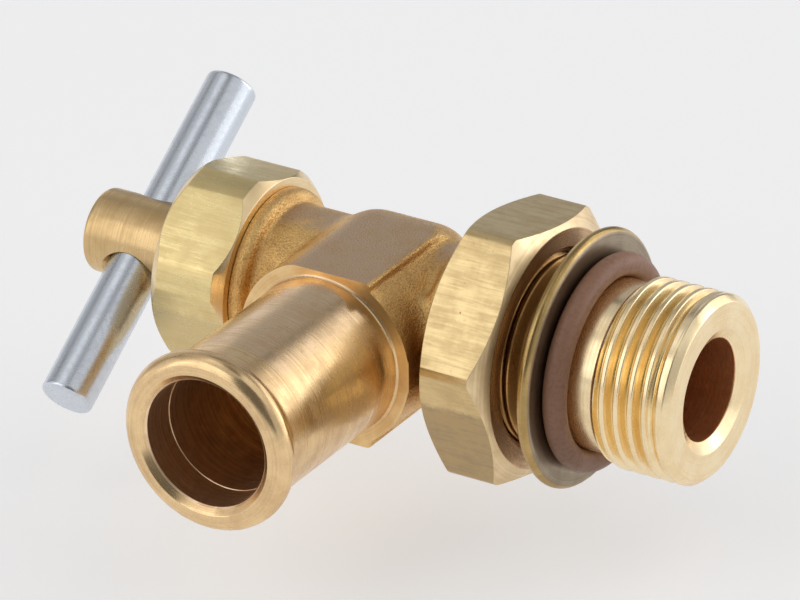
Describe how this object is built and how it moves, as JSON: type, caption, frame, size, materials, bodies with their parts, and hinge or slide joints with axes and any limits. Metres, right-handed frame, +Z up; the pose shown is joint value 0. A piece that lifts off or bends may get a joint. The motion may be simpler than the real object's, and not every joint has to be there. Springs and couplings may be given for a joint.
{
  "type": "angle shut-off valve",
  "caption": "Angle shut-off valve with a beaded hose tail, an adjustable threaded stud with lock nut, washer and O-ring, and a screwed spindle turned by a tommy bar.",
  "frame": {"origin": "on the stud's axis, in the front plane of the backup washer, where the face of the port comes", "axes": "+X along the stud's axis, out of the body and into the port; -Y out along the hose tail; +Z up, square to both"},
  "size_m": [0.0815, 0.0601, 0.0314],
  "materials": {
    "body_brass": "forged and shot-blasted, with turned ends",
    "bonnet_brass": "drawn flats and turned chamfers",
    "spindle_brass": "turned",
    "inner_brass": "turned",
    "bar_steel": "bright zinc plating",
    "nut_brass": "drawn flats and turned faces",
    "washer_steel": "dark satin",
    "ring_rubber": "smooth matt",
    "packing": "matt",
    "disc_rubber": "matt"
  },
  "bodies": {
    "valve": {"valve_body": "body_brass", "bonnet_nut": "bonnet_brass", "gland_follower": "inner_brass", "packing_ring_1": "packing", "packing_ring_2": "packing", "gland_washer": "inner_brass", "stud_o_ring": "ring_rubber"},
    "disc": {"disc_holder": "inner_brass", "seat_disc": "disc_rubber", "disc_screw": "inner_brass"},
    "spindle": {"spindle": "spindle_brass", "tommy_bar": "bar_steel"},
    "lock_nut": {"lock_nut": "nut_brass"},
    "washer": {"backup_washer": "washer_steel"}
  },
  "joints": [
    {"name": "spindle_travel", "type": "slide", "parent": "valve", "child": "disc", "axis": [1, 0, 0], "range_m": [-0.00375, 0.00187]},
    {"name": "spindle_turn", "type": "hinge", "parent": "disc", "child": "spindle", "pos_m": [-0.0268, 0, 0], "axis": [1, 0, 0], "range_deg": [-902, 452]},
    {"name": "lock_nut_travel", "type": "slide", "parent": "valve", "child": "lock_nut", "axis": [1, 0, 0], "range_m": [-0.001, 0.0024]},
    {"name": "washer_float", "type": "slide", "parent": "valve", "child": "washer", "axis": [1, 0, 0], "range_m": [-0.0012, 0]}
  ],
  "couplings": [
    {"joint": "spindle_turn", "follows": "spindle_travel", "rad_per_m": 4188.8}
  ]
}
